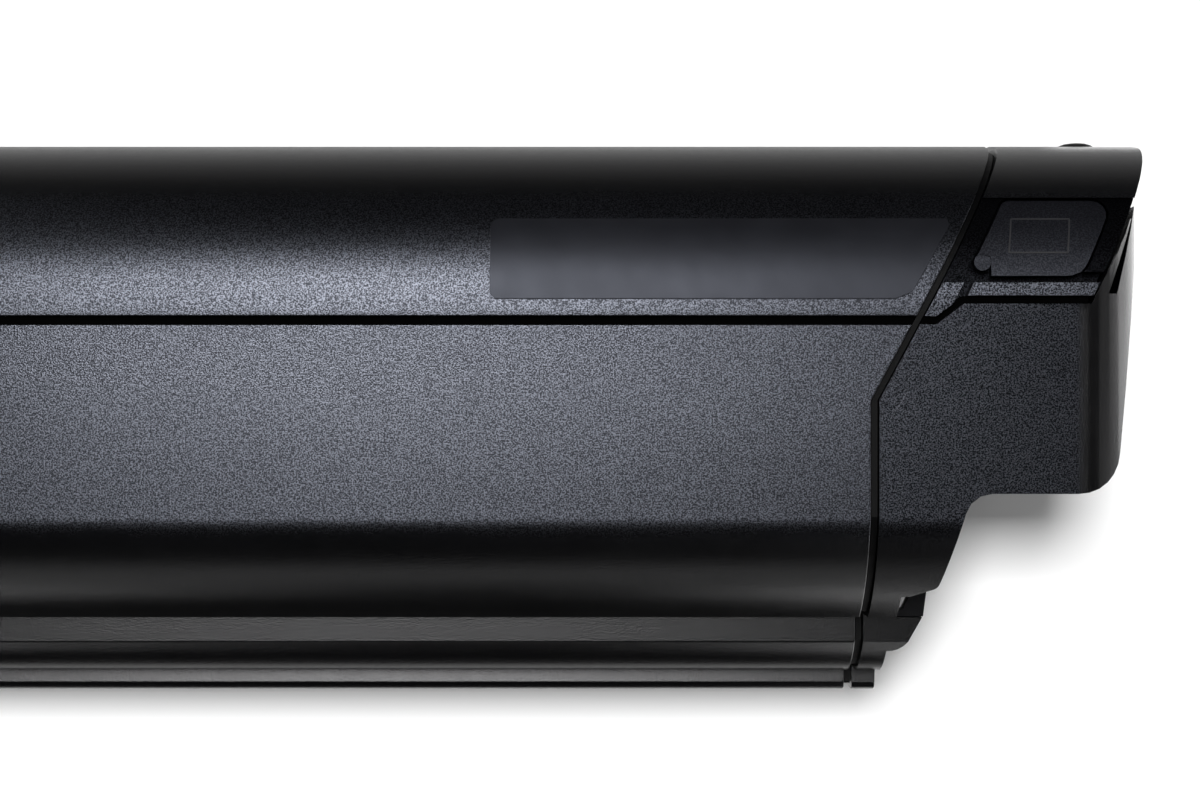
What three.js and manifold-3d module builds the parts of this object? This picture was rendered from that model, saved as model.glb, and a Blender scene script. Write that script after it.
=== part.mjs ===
// Battery pack of an electric bicycle, the kind that slides into the down tube of the frame.
// Millimetres. X runs along the pack with the head end at +X, Y runs from the mounting rail (Y = 0)
// to the crown of the cover, and Z runs across the pack with the charge port on the +Z side.
// The origin is the middle of the flat face of the mounting rail.
import * as THREE from 'three';
import { ConvexGeometry } from 'three/addons/geometries/ConvexGeometry.js';
import { mergeVertices } from 'three/addons/utils/BufferGeometryUtils.js';
import Module from 'manifold-3d';

const wasm = await Module();
wasm.setup();

// ---------------------------------------------------------------- driving dimensions

const HALF_WIDTH = 40;
const HEIGHT = 87.8;
const CORNER_RADIUS = 27;
const CROWN_RADIUS = 90;
const SIDE_LOW = 29.4; // where the flat side starts to round in
// Each step of the underside: an upright side, then a round flank in to its edge.
const STEP_A = { side: HALF_WIDTH, bend: SIDE_LOW, edge: 28, y: 13.7, startTilt: 15 };
const STEP_B = { side: 22.5, bend: 9.3, edge: 14, y: 3.9, startTilt: 40 };
const RAIL = { halfWidth: 9, neck: 8.6, radius: 1.2 };
const WALL = 2.4;
const HOOD_WALL = 3.4;
const HOOD_END_WALL = 1.5;

const TAIL_END = -195;
const TAIL_SEAM = -168;
const HEAD_END = 195;
const HEAD_SEAM = 155.3;
const SEAM_KNEE = 46.5; // the seam is upright below this height and leans above it
const SEAM_LEAN = 0.54;
const SEAM_HALF_GAP = 0.6;
const GASKET_HALF = 0.45;
const GASKET_DEPTH = 0.9; // its outer face lies this far under the section's outline

const GROOVE_Y = 58.1;
const GROOVE_HALF = 0.6;
const HOOD_GROOVE_Y = 61.1;
const END_FILLET = 9;

const PORT = { x: 180.3, y: 70.2 };
const FLAP_SKIN = 0.45; // depth of the flap's face under the section's outline
const FLAP_THICK = 1.2;
const FLAP_POCKET = 2.3;

const BUTTON = { x: 191.8, z: 9, radius: 2.9, flange: 3.6, proud: 0.45 };

const CELL = { radius: 9.15, length: 65, pitch: 18.6 };
const STACK = { x: -150, y: 46 };

const CORNER_CENTRE = {
  z: HALF_WIDTH - CORNER_RADIUS,
  y: HEIGHT - CROWN_RADIUS
    + Math.sqrt((CROWN_RADIUS - CORNER_RADIUS) ** 2 - (HALF_WIDTH - CORNER_RADIUS) ** 2),
};
const REACH = 60; // longer than any piece is wide, for shapes that only cut

// ---------------------------------------------------------------- materials

const finish = (color, roughness, metalness) =>
  new THREE.MeshStandardMaterial({ color, roughness, metalness });

const SHELL = finish(0x1c1c20, 0.5, 0.1);
const PLASTIC = finish(0x141416, 0.45, 0);
const RUBBER = finish(0x2a2b2e, 0.8, 0);
const FILM = finish(0x26272c, 0.25, 0);
const STEEL = finish(0x8d9095, 0.35, 1);
const BRASS = finish(0xb08d3c, 0.35, 1);
const NICKEL = finish(0x9aa3a0, 0.4, 0.9);
const ALUMINIUM = finish(0xa8abad, 0.45, 1);
const BOARD = finish(0x1d5a34, 0.5, 0);
const PAPER = finish(0x3f6b52, 0.85, 0);
const FOAM = finish(0x3a3a3a, 0.95, 0);
const RED = finish(0xa11c1c, 0.5, 0);
const DARK_WIRE = finish(0x17171a, 0.5, 0);

// ---------------------------------------------------------------- solids and meshes

function solidOf(geometry) {
  const bare = geometry.clone();
  bare.deleteAttribute('normal');
  bare.deleteAttribute('uv');
  const merged = mergeVertices(bare, 1e-4);
  return new wasm.Manifold(new wasm.Mesh({
    numProp: 3,
    vertProperties: new Float32Array(merged.attributes.position.array),
    triVerts: new Uint32Array(merged.index.array),
  }));
}

function geometryOf(solid) {
  const { vertProperties, triVerts } = solid.getMesh();
  const geometry = new THREE.BufferGeometry();
  geometry.setAttribute('position', new THREE.BufferAttribute(vertProperties, 3));
  geometry.setIndex(new THREE.BufferAttribute(triVerts, 1));
  geometry.computeVertexNormals();
  return geometry;
}

const join = (...solids) => solids.reduce((a, b) => a.add(b));
const common = (...solids) => solids.reduce((a, b) => a.intersect(b));
const cut = (body, ...tools) => tools.reduce((a, b) => a.subtract(b), body);

const pack = new THREE.Group();

function place(name, shape, material) {
  const geometry = shape instanceof THREE.BufferGeometry ? shape : geometryOf(shape);
  const mesh = new THREE.Mesh(geometry, material);
  mesh.name = name;
  pack.add(mesh);
}

// ---------------------------------------------------------------- outlines and prisms

function arc(cx, cy, radius, from, to, steps) {
  return Array.from({ length: steps + 1 }, (_, i) => {
    const angle = THREE.MathUtils.degToRad(from + ((to - from) * i) / steps);
    return [cx + radius * Math.cos(angle), cy + radius * Math.sin(angle)];
  });
}

// A closed outline through the given corners (x, y, radius), each rounded to its own radius.
function rounded(corners, steps = 4) {
  return corners.flatMap(([x, y, radius], i) => {
    const corner = new THREE.Vector2(x, y);
    const towards = ([nextX, nextY]) => new THREE.Vector2(nextX, nextY).sub(corner).normalize();
    const before = towards(corners.at(i - 1));
    const after = towards(corners[(i + 1) % corners.length]);
    const half = Math.acos(before.dot(after)) / 2;
    const centre = before.clone().add(after).setLength(radius / Math.sin(half)).add(corner);
    const start = before.multiplyScalar(radius / Math.tan(half)).add(corner).sub(centre);
    const from = THREE.MathUtils.radToDeg(start.angle());
    const turn = 180 - THREE.MathUtils.radToDeg(2 * half);
    return arc(centre.x, centre.y, radius, from, from + turn, steps);
  });
}

// The round flank of a step: the circle through both its ends that starts at the given tilt.
function flankCircle({ side, bend, edge, y, startTilt }) {
  const chordTilt = Math.atan2(side - edge, bend - y);
  const start = THREE.MathUtils.degToRad(startTilt);
  const radius = Math.hypot(side - edge, bend - y) / (2 * Math.sin(chordTilt - start));
  return { radius, z: side - radius * Math.cos(start), y: bend + radius * Math.sin(start) };
}

// The outline of one step from its edge to its bend, drawn inward by the given depth.
function stepOutline(step, depth, segments) {
  const circle = flankCircle(step);
  const radius = circle.radius - depth;
  const angleAt = (y) => THREE.MathUtils.radToDeg(Math.asin((y - circle.y) / radius));
  const side = step.side - depth;
  const bendAngle = -THREE.MathUtils.radToDeg(Math.acos((side - circle.z) / radius));
  return arc(circle.z, circle.y, radius, angleAt(step.y + depth), bendAngle, segments);
}

// The pack's cross-section in Z and Y, drawn inward by the given depth, from the rail to the crown.
function halfSection(depth) {
  const railRadius = Math.max(RAIL.radius - depth, 0.4);
  const railSide = RAIL.halfWidth - depth;
  const crownAngle = THREE.MathUtils.radToDeg(
    Math.atan2(CORNER_CENTRE.y - (HEIGHT - CROWN_RADIUS), CORNER_CENTRE.z));
  return [
    ...arc(railSide - railRadius, depth + railRadius, railRadius, -90, 0, 2),
    [RAIL.neck - depth, STEP_B.y + depth],
    ...stepOutline(STEP_B, depth, 5),
    [STEP_B.side - depth, STEP_A.y + depth],
    ...stepOutline(STEP_A, depth, 6),
    ...arc(CORNER_CENTRE.z, CORNER_CENTRE.y, CORNER_RADIUS - depth, 0, crownAngle, 18),
    ...arc(0, HEIGHT - CROWN_RADIUS, CROWN_RADIUS - depth, crownAngle, 90, 4).slice(1),
  ];
}

const shapeOf = (points) => new THREE.Shape(points.map(([x, y]) => new THREE.Vector2(x, y)));

// The full cross-section as a solid bar between two places along X.
function bar(depth, fromX, toX) {
  const half = halfSection(depth);
  const other = half.slice(0, -1).reverse().map(([z, y]) => [-z, y]);
  const geometry = new THREE.ExtrudeGeometry(shapeOf([...half, ...other]), {
    depth: toX - fromX,
    bevelEnabled: false,
  });
  geometry.rotateY(Math.PI / 2).translate(fromX, 0, 0);
  return solidOf(geometry);
}

// A side-view outline in X and Y made into a prism across Z.
function slab(points, fromZ = -REACH, toZ = REACH) {
  const geometry = new THREE.ExtrudeGeometry(shapeOf(points), {
    depth: toZ - fromZ,
    bevelEnabled: false,
  });
  return solidOf(geometry.translate(0, 0, fromZ));
}

// A plan-view outline in X and Z, alike on both sides of Z = 0, made into a prism along Y.
function post(points, fromY = -REACH, toY = 2 * REACH) {
  const geometry = new THREE.ExtrudeGeometry(shapeOf(points), {
    depth: toY - fromY,
    bevelEnabled: false,
  });
  return solidOf(geometry.rotateX(-Math.PI / 2).translate(0, fromY, 0));
}

function box(fromX, toX, fromY, toY, fromZ, toZ) {
  const geometry = new THREE.BoxGeometry(toX - fromX, toY - fromY, toZ - fromZ);
  geometry.translate((fromX + toX) / 2, (fromY + toY) / 2, (fromZ + toZ) / 2);
  return solidOf(geometry);
}

function rod(radius, length, segments = 12) {
  return new THREE.CylinderGeometry(radius, radius, length, segments);
}

// A rod along X, from one place to another.
function rodX(radius, fromX, toX, y, z, segments = 12) {
  const geometry = rod(radius, toX - fromX, segments).rotateZ(Math.PI / 2);
  return solidOf(geometry.translate((fromX + toX) / 2, y, z));
}

// A closed profile of radius and height turned about the Y axis.
function turned(profile, segments = 32) {
  return new THREE.LatheGeometry(profile.map(([r, y]) => new THREE.Vector2(r, y)), segments);
}

function tube(points, radius, steps) {
  const path = new THREE.CatmullRomCurve3(points.map((p) => new THREE.Vector3(...p)));
  const ring = new THREE.Shape();
  ring.absarc(0, 0, radius, 0, 2 * Math.PI);
  return new THREE.ExtrudeGeometry(ring, { steps, curveSegments: 4, extrudePath: path });
}

// ---------------------------------------------------------------- seams

// X of the head seam at a height, moved along X by an offset.
const seamAt = (y, offset = 0) => HEAD_SEAM + SEAM_LEAN * Math.max(y - SEAM_KNEE, 0) + offset;

// Everything on the tail side of the head seam, between two heights.
function beforeSeam(fromX, fromY, toY, offset) {
  const knee = fromY < SEAM_KNEE ? [[seamAt(SEAM_KNEE, offset), SEAM_KNEE]] : [];
  return slab([
    [fromX, fromY],
    [seamAt(fromY, offset), fromY],
    ...knee,
    [seamAt(toY, offset), toY],
    [fromX, toY],
  ]);
}

const shellRing = (outer, inner, fromX, toX) =>
  cut(bar(outer, fromX, toX), bar(inner, fromX - 1, toX + 1));

const CUT_TOP = HEIGHT + 4;
const longRing = shellRing(0, WALL, TAIL_SEAM + SEAM_HALF_GAP, HEAD_SEAM + 30);

place('top_cover', common(
  longRing,
  beforeSeam(TAIL_SEAM - 5, GROOVE_Y + GROOVE_HALF, CUT_TOP, -SEAM_HALF_GAP),
), SHELL);

place('lower_housing', common(
  longRing,
  beforeSeam(TAIL_SEAM - 5, -5, GROOVE_Y - GROOVE_HALF, -SEAM_HALF_GAP),
), SHELL);

const sealRing = shellRing(1, WALL - 0.2, TAIL_SEAM + SEAM_HALF_GAP, HEAD_SEAM + 60);
const sealBand = common(
  sealRing,
  beforeSeam(TAIL_SEAM - 5, GROOVE_Y - GROOVE_HALF + 0.05, GROOVE_Y + GROOVE_HALF - 0.05,
    -SEAM_HALF_GAP),
);
const leftHalf = box(TAIL_END, HEAD_END + 10, -5, CUT_TOP, 0, REACH);
const rightHalf = box(TAIL_END, HEAD_END + 10, -5, CUT_TOP, -REACH, 0);
place('joint_seal_left', common(sealBand, leftHalf), RUBBER);
place('joint_seal_right', common(sealBand, rightHalf), RUBBER);

place('head_gasket', cut(
  common(
    shellRing(GASKET_DEPTH, WALL + 1, HEAD_SEAM - 5, HEAD_SEAM + 30),
    beforeSeam(TAIL_SEAM, -5, CUT_TOP, GASKET_HALF),
  ),
  beforeSeam(TAIL_SEAM - 1, -6, CUT_TOP + 1, -GASKET_HALF),
), RUBBER);

place('tail_gasket',
  shellRing(GASKET_DEPTH, WALL + 1, TAIL_SEAM - GASKET_HALF, TAIL_SEAM + GASKET_HALF), RUBBER);

// ---------------------------------------------------------------- head end

const HOOD_END_FOOT = { x: 188.3, y: 64.2 };
const HOOD_END_LEAN = 0.51;
const hoodEndAt = (y, offset = 0) =>
  HOOD_END_FOOT.x + HOOD_END_LEAN * (y - HOOD_END_FOOT.y) + offset;
const RAMP = { fromX: 164.2, toX: 168.2 }; // where the groove climbs from the seam to the ledge

// The groove between cap and hood, shifted up or down.
const grooveLine = (shift) => [
  [RAMP.fromX, GROOVE_Y + shift],
  [RAMP.toX, HOOD_GROOVE_Y + shift],
];

// Plan view of the cap with its two round end corners, drawn inward by the given depth.
const capPlan = (depth) => [
  [HEAD_SEAM - 10, depth - HALF_WIDTH - 1],
  [HEAD_END - END_FILLET, depth - HALF_WIDTH - 1],
  ...arc(HEAD_END - END_FILLET, END_FILLET - HALF_WIDTH, END_FILLET - depth, -90, 0, 8),
  ...arc(HEAD_END - END_FILLET, HALF_WIDTH - END_FILLET, END_FILLET - depth, 0, 90, 8),
  [HEAD_END - END_FILLET, HALF_WIDTH + 1 - depth],
  [HEAD_SEAM - 10, HALF_WIDTH + 1 - depth],
];

const OVERHANG_Y = 32.9;
const OVERHANG_CORNER = 6.5;
// The end face of the cap leans out to its full reach.
const CAP_END_FOOT = { x: 191.3, y: OVERHANG_Y + OVERHANG_CORNER };
const CAP_END_FULL = 72.1;
const CAP_TAB_TOP = 75.2;
const NOTCH = { left: 160.2, floor: 13.1, bolt: 11.3, boltHalf: 17 };
// A thin rim of the cap stands along the end of the hood, with an open slit behind it.
const SLIT_FLOOR = 62;
const RIM_TOP = 73.2;
const capFront = seamAt(0, SEAM_HALF_GAP);
const capSide = [
  [capFront, -2],
  [159.4, -2],
  [159.7, STEP_B.y],
  ...arc(160, 11, 3.3, -95, -30, 4),
  [165, NOTCH.floor],
  [NOTCH.left, NOTCH.floor],
  [NOTCH.left, 17.2],
  [161.6, 17.3],
  ...arc(164.5, 19.5, 1.1, -68, -14, 3),
  [168.3, SIDE_LOW],
  ...arc(172.3, 28.9, 4, 165, 90, 3),
  ...arc(CAP_END_FOOT.x - OVERHANG_CORNER, CAP_END_FOOT.y, OVERHANG_CORNER, -90, -6, 6),
  [HEAD_END, CAP_END_FULL],
  [HEAD_END, CAP_TAB_TOP],
  [194.4, CAP_TAB_TOP],
  [190.7, SLIT_FLOOR],
  [189.3, SLIT_FLOOR],
  [hoodEndAt(RIM_TOP, 0.65), RIM_TOP],
  [hoodEndAt(RIM_TOP, 0.3), RIM_TOP],
  [hoodEndAt(HOOD_GROOVE_Y - GROOVE_HALF, 0.3), HOOD_GROOVE_Y - GROOVE_HALF],
  ...grooveLine(-GROOVE_HALF).reverse(),
  [seamAt(GROOVE_Y - GROOVE_HALF, SEAM_HALF_GAP), GROOVE_Y - GROOVE_HALF],
  [seamAt(SEAM_KNEE, SEAM_HALF_GAP), SEAM_KNEE],
];

const capCavity = [
  [capFront - 1, 2.4],
  [157.6, 2.4],
  [157.6, 20.5],
  [164.4, 20.5],
  [165.9, 30],
  [170.5, OVERHANG_Y + WALL],
  [184.4, OVERHANG_Y + WALL],
  [188.8, 43],
  [190.6, 56],
  [186.4, HOOD_GROOVE_Y + 1],
  [seamAt(HOOD_GROOVE_Y + 1), HOOD_GROOVE_Y + 1],
  [capFront - 1, SEAM_KNEE],
];

const SCREW = { head: 2.9, headHeight: 1.8, shank: 1.45, length: 12, recess: 2.4 };
const HEAD_SCREWS = [
  { x: 192.6, y: 51, z: 24 },
  { x: 192.6, y: 51, z: -24 },
  { x: 166.9, y: 24.5, z: 13 },
  { x: 166.9, y: 24.5, z: -13 },
];
const TAIL_SCREWS = [
  { x: TAIL_END, y: 66, z: 20 },
  { x: TAIL_END, y: 66, z: -20 },
  { x: TAIL_END, y: 25, z: 18 },
  { x: TAIL_END, y: 25, z: -18 },
];

// The boss around a screw, and the stepped hole through it. The screw enters along -X or +X.
function screwBoss({ x, y, z }, inward) {
  const reach = x + inward * (SCREW.length + 1);
  return rodX(SCREW.head + 1.6, Math.min(x, reach), Math.max(x, reach), y, z, 14);
}

function screwHole({ x, y, z }, inward) {
  const seat = x + inward * SCREW.recess;
  const mouth = x - inward * 4;
  const far = x + inward * (SCREW.length + 4);
  return join(
    rodX(SCREW.head + 0.4, Math.min(mouth, seat), Math.max(mouth, seat), y, z, 14),
    rodX(SCREW.shank + 0.3, Math.min(x, far), Math.max(x, far), y, z, 10),
  );
}

function screwShape({ x, y, z }, inward) {
  const top = SCREW.recess - SCREW.headHeight;
  const profile = [
    [0, -SCREW.length],
    [SCREW.shank, -SCREW.length + 0.8],
    [SCREW.shank, -SCREW.recess + 0.05],
    [SCREW.head, -SCREW.recess + 0.05],
    [SCREW.head, -top - 0.5],
    [SCREW.head - 0.6, -top],
    [0, -top],
  ];
  const geometry = turned(profile, 12).rotateZ(inward < 0 ? -Math.PI / 2 : Math.PI / 2);
  return geometry.translate(x, y, z);
}

const capOuter = common(bar(0, HEAD_SEAM - 8, HEAD_END + 2), slab(capSide), post(capPlan(0)));
const capInside = common(
  bar(WALL, HEAD_SEAM - 8, HEAD_END + 2),
  slab(capCavity),
  post(capPlan(WALL)),
);
const headBosses = join(...HEAD_SCREWS.map((at) => screwBoss(at, -1)));
const boltPocket = box(NOTCH.left, HEAD_END, NOTCH.bolt, NOTCH.floor + 0.1,
  -NOTCH.boltHalf, NOTCH.boltHalf);
place('head_cap', cut(
  join(cut(capOuter, capInside), common(headBosses, capOuter)),
  boltPocket,
  ...HEAD_SCREWS.map((at) => screwHole(at, -1)),
), PLASTIC);
HEAD_SCREWS.forEach((at, i) => place(`head_screw_${i + 1}`, screwShape(at, -1), STEEL));

const hoodFront = (y) => [seamAt(y, SEAM_HALF_GAP), y];
const HOOD_TIP = 1.6;
const hoodSide = [
  hoodFront(GROOVE_Y + GROOVE_HALF),
  ...grooveLine(GROOVE_HALF),
  [hoodEndAt(HOOD_GROOVE_Y + GROOVE_HALF), HOOD_GROOVE_Y + GROOVE_HALF],
  [hoodEndAt(HEIGHT - HOOD_TIP), HEIGHT - HOOD_TIP],
  [hoodEndAt(HEIGHT - HOOD_TIP, -0.1), HEIGHT - HOOD_TIP / 3],
  [hoodEndAt(HEIGHT, -HOOD_TIP), HEIGHT + 0.2],
  hoodFront(HEIGHT + 0.2),
];
const hoodCavity = [
  [seamAt(GROOVE_Y - 1, -1), GROOVE_Y - 1],
  [hoodEndAt(GROOVE_Y - 1, -HOOD_END_WALL), GROOVE_Y - 1],
  [hoodEndAt(HEIGHT + 1, -HOOD_END_WALL), HEIGHT + 1],
  [seamAt(HEIGHT + 1, -1), HEIGHT + 1],
];

// Side view of the flap: a leaning four-sided shape with round corners, grown by a margin.
const FLAP = { low: 64.6, high: 76.05, strapLow: 75.2, strapThick: 0.6,
  left: 168.8, right: 185.5, leanLeft: 0.55, leanRight: 0.5 };
function flapOutline(margin, marginAbove) {
  const low = FLAP.low - margin;
  const high = FLAP.high + marginAbove;
  const left = (y) => FLAP.left + FLAP.leanLeft * (y - FLAP.low) - margin;
  const right = (y) => FLAP.right + FLAP.leanRight * (y - FLAP.low) + margin;
  return rounded([
    [left(low), low, 0.6],
    [right(low), low, 3.4 + margin],
    [right(high), high, 1.9 + margin],
    [left(high), high, 1.5 + margin],
  ]);
}

// The round pull tab at the low left corner of the flap, set off by a narrow cut.
const TAB = { x: 171.1, y: 66.6, radius: 1.25 };
const tabDisc = slab(arc(TAB.x, TAB.y, TAB.radius, 0, 345, 12));

const nearRing = (outer, inner) =>
  common(shellRing(outer, inner, HEAD_SEAM, HEAD_END + 6), leftHalf);

const LIP_Y = 76.5;
const portRecess = common(nearRing(-1, 0.5), slab([
  [seamAt(63.6), 63.6],
  [hoodEndAt(63.6, 1), 63.6],
  [hoodEndAt(LIP_Y, 1), LIP_Y],
  [seamAt(LIP_Y), LIP_Y],
]));
const flapPocket = common(nearRing(-1, FLAP_POCKET), slab(flapOutline(0.4, LIP_Y - FLAP.high)));
// Under the flap a channel runs out to the end of the hood, and turns down into the groove.
const fingerChannel = common(nearRing(-1, 2.6), slab([
  [166.6, 60.5],
  [168.2, 60.5],
  [169.7, 63.6],
  [hoodEndAt(63.6, 1), 63.6],
  [hoodEndAt(65.2, 1), 65.2],
  [171.4, 65.2],
  [169.6, 66.2],
]));

// The charge port's own axis stands square on the round corner of the section.
const portAngle = Math.asin((PORT.y - CORNER_CENTRE.y) / CORNER_RADIUS);
function alongPort(geometry) {
  geometry.rotateX(Math.PI / 2 - portAngle);
  return geometry.translate(
    PORT.x,
    CORNER_CENTRE.y + CORNER_RADIUS * Math.sin(portAngle),
    CORNER_CENTRE.z + CORNER_RADIUS * Math.cos(portAngle),
  );
}

const buttonHole = solidOf(rod(BUTTON.radius + 0.3, 12, 32).translate(BUTTON.x, HEIGHT, BUTTON.z));
const portHole = solidOf(alongPort(rod(4.3, 12, 32)));
const hoodShell = cut(
  common(bar(0, HEAD_SEAM, HEAD_END + 8), slab(hoodSide)),
  common(bar(HOOD_WALL, HEAD_SEAM - 1, HEAD_END + 9), slab(hoodCavity)),
);
place('head_hood',
  cut(hoodShell, portRecess, flapPocket, fingerChannel, buttonHole, portHole), PLASTIC);

const hoodSealBand = common(
  shellRing(1, WALL - 0.2, HEAD_SEAM, HEAD_END),
  slab([
    [seamAt(GROOVE_Y - 0.5, SEAM_HALF_GAP), GROOVE_Y - 0.55],
    ...grooveLine(-0.55),
    [186.4, HOOD_GROOVE_Y - 0.55],
    [186.4, HOOD_GROOVE_Y + 0.55],
    ...grooveLine(0.55).reverse(),
    [seamAt(GROOVE_Y + 0.5, SEAM_HALF_GAP), GROOVE_Y + 0.55],
  ]),
);
place('hood_seal_left', common(hoodSealBand, leftHalf), RUBBER);
place('hood_seal_right', common(hoodSealBand, rightHalf), RUBBER);

// ---------------------------------------------------------------- charge flap and port

// The flap's face narrows to a thin strap along its top edge, where it bends.
const flapSheet = cut(
  common(nearRing(FLAP_SKIN, FLAP_SKIN + FLAP_THICK), slab(flapOutline(0, 0))),
  box(FLAP.left - 1, TAB.x + TAB.radius, FLAP.low - 1, TAB.y + 1, 0, REACH),
  common(
    nearRing(FLAP_SKIN + FLAP.strapThick, FLAP_SKIN + 2 * FLAP_THICK),
    box(HEAD_SEAM, HEAD_END, FLAP.strapLow, CUT_TOP, 0, REACH),
  ),
);
const flapTab = common(nearRing(FLAP_SKIN - 0.15, FLAP_SKIN + 1), tabDisc);
const flapNeck = common(nearRing(FLAP_SKIN + 0.5, FLAP_SKIN + FLAP_THICK), slab([
  [TAB.x - 0.8, TAB.y],
  [TAB.x + 2, TAB.y - 0.4],
  [TAB.x + 2, TAB.y + 1.6],
  [TAB.x - 0.3, TAB.y + 1.6],
]));
const flapPlug = solidOf(alongPort(rod(3.1, 1.8, 24).translate(0, -FLAP_SKIN - 1.9, 0)));
place('charge_flap', join(flapSheet, flapTab, flapNeck, flapPlug), RUBBER);

place('charge_socket', alongPort(turned([
  [0, -14],
  [4, -14],
  [4, -5.8],
  [5.8, -5.8],
  [5.8, -4.6],
  [4, -4.6],
  [4, -2.4],
  [3.5, -2.4],
  [3.5, -11],
  [0, -11],
])), PLASTIC);
place('charge_socket_nut', alongPort(turned([
  [4.2, -8.6],
  [5.4, -8.6],
  [5.4, -6.2],
  [4.2, -6.2],
  [4.2, -8.6],
])), STEEL);
place('charge_pin', alongPort(turned([
  [0, -10.9],
  [1.05, -10.9],
  [1.05, -4.9],
  [0.6, -4.4],
  [0, -4.4],
], 16)), BRASS);

// ---------------------------------------------------------------- power button

// Height of the crown above the button's centre.
const crownAtButton = HEIGHT - CROWN_RADIUS + Math.sqrt(CROWN_RADIUS ** 2 - BUTTON.z ** 2);
const buttonFlangeTop = crownAtButton - HOOD_WALL - 0.5;
const buttonTop = crownAtButton + BUTTON.proud;
place('power_button', turned([
  [0, buttonFlangeTop - 2],
  [1.6, buttonFlangeTop - 2],
  [1.6, buttonFlangeTop - 0.8],
  [BUTTON.flange, buttonFlangeTop - 0.8],
  [BUTTON.flange, buttonFlangeTop],
  [BUTTON.radius, buttonFlangeTop],
  [BUTTON.radius, buttonTop - 0.7],
  [BUTTON.radius - 0.25, buttonTop - 0.4],
  [1.9, buttonTop - 0.12],
  [0, buttonTop],
]).translate(BUTTON.x, 0, BUTTON.z), RUBBER);
const switchTop = buttonFlangeTop - 3.4;
const boardTop = switchTop - 2.5;
place('button_switch',
  box(BUTTON.x - 3, BUTTON.x + 0.9, boardTop + 0.05, switchTop, BUTTON.z - 2, BUTTON.z + 2), PLASTIC);
place('switch_board',
  box(BUTTON.x - 14, BUTTON.x + 1, boardTop - 1.2, boardTop, BUTTON.z - 21, BUTTON.z + 3), BOARD);

// ---------------------------------------------------------------- lock keeper and label

// A bent steel strap in the notch of the cap: a web across it, and a cheek at each side.
const keeperWeb = slab([
  [160.5, 13.2],
  [161.3, 13.2],
  [161.3, 16.8],
  [160.5, 16.8],
], -22, 22);
const keeperCheek = (fromZ, toZ) => slab([
  [160.5, 13.2],
  [165.2, 13.2],
  [165.7, 17],
  [163.3, 17],
  [162.1, 14.5],
  [161.2, 13.9],
  [160.5, 13.9],
], fromZ, toZ);
place('lock_keeper', join(keeperWeb, keeperCheek(19.8, 22.2), keeperCheek(-22.2, -19.8)), STEEL);

const LABEL = { fromX: 99.4, low: 61.2, high: 73.2 };
const labelRight = (y) => seamAt(y, -2.6);
place('rating_label', common(
  shellRing(-0.3, -0.05, LABEL.fromX, HEAD_SEAM + 20),
  leftHalf,
  slab([
    [LABEL.fromX + 0.8, LABEL.low],
    [labelRight(LABEL.low) - 2.4, LABEL.low],
    [labelRight(LABEL.low + 1) - 0.5, LABEL.low + 1],
    [labelRight(LABEL.high - 1), LABEL.high - 1],
    [labelRight(LABEL.high) - 0.8, LABEL.high],
    [LABEL.fromX + 0.8, LABEL.high],
    [LABEL.fromX, LABEL.high - 0.8],
    [LABEL.fromX, LABEL.low + 0.8],
  ]),
), FILM);

// ---------------------------------------------------------------- tail end

const POCKET = { depth: 8, low: 31, high: 49, halfWidth: 22 };
const tailPlan = [
  [TAIL_SEAM + 5, HALF_WIDTH + 1],
  [TAIL_END + END_FILLET, HALF_WIDTH + 1],
  ...arc(TAIL_END + END_FILLET, HALF_WIDTH - END_FILLET, END_FILLET, 90, 180, 5),
  ...arc(TAIL_END + END_FILLET, END_FILLET - HALF_WIDTH, END_FILLET, 180, 270, 5),
  [TAIL_END + END_FILLET, -HALF_WIDTH - 1],
  [TAIL_SEAM + 5, -HALF_WIDTH - 1],
];
const tailSide = [
  [TAIL_SEAM - SEAM_HALF_GAP, -2],
  [TAIL_SEAM - SEAM_HALF_GAP, CUT_TOP],
  [TAIL_END + 7, CUT_TOP],
  ...arc(TAIL_END + 7, HEIGHT - 7, 7, 90, 180, 4),
  ...arc(TAIL_END + 4, 19, 4, 180, 250, 3),
  [-187, STEP_A.y],
  ...arc(-182, 8.9, 5, 180, 270, 4),
  [-180, STEP_B.y],
  [-179, 1],
  [-178, -2],
];
const tailOuter = common(
  bar(0, TAIL_END - 1, TAIL_SEAM + 1),
  slab(tailSide),
  post(tailPlan),
);
const tailInside = common(
  bar(WALL, TAIL_END - 1, TAIL_SEAM + 1),
  join(
    box(TAIL_END + WALL, TAIL_SEAM + 2, 20.5, HEIGHT - 7, -REACH, REACH),
    box(-179.5, TAIL_SEAM + 2, 2.4, HEIGHT, -REACH, REACH),
  ),
  post([
    [TAIL_SEAM + 5, HALF_WIDTH],
    ...arc(TAIL_END + END_FILLET, HALF_WIDTH - END_FILLET, END_FILLET - WALL, 90, 180, 4),
    ...arc(TAIL_END + END_FILLET, END_FILLET - HALF_WIDTH, END_FILLET - WALL, 180, 270, 4),
    [TAIL_SEAM + 5, -HALF_WIDTH],
  ]),
);
const pocketFloor = TAIL_END + POCKET.depth;
const pocketWall = box(TAIL_END + 1, pocketFloor + WALL, POCKET.low - WALL, POCKET.high + WALL,
  -POCKET.halfWidth - WALL, POCKET.halfWidth + WALL);
const pocket = box(TAIL_END - 2, pocketFloor, POCKET.low, POCKET.high,
  -POCKET.halfWidth, POCKET.halfWidth);
const plugHole = box(pocketFloor - 1, pocketFloor + 4, 34, 46, -18, 18);
const tailBosses = join(...TAIL_SCREWS.map((at) => screwBoss(at, 1)));
place('tail_cap', cut(
  join(cut(tailOuter, tailInside), pocketWall, common(tailBosses, tailOuter)),
  pocket,
  plugHole,
  ...TAIL_SCREWS.map((at) => screwHole(at, 1)),
), PLASTIC);
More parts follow.
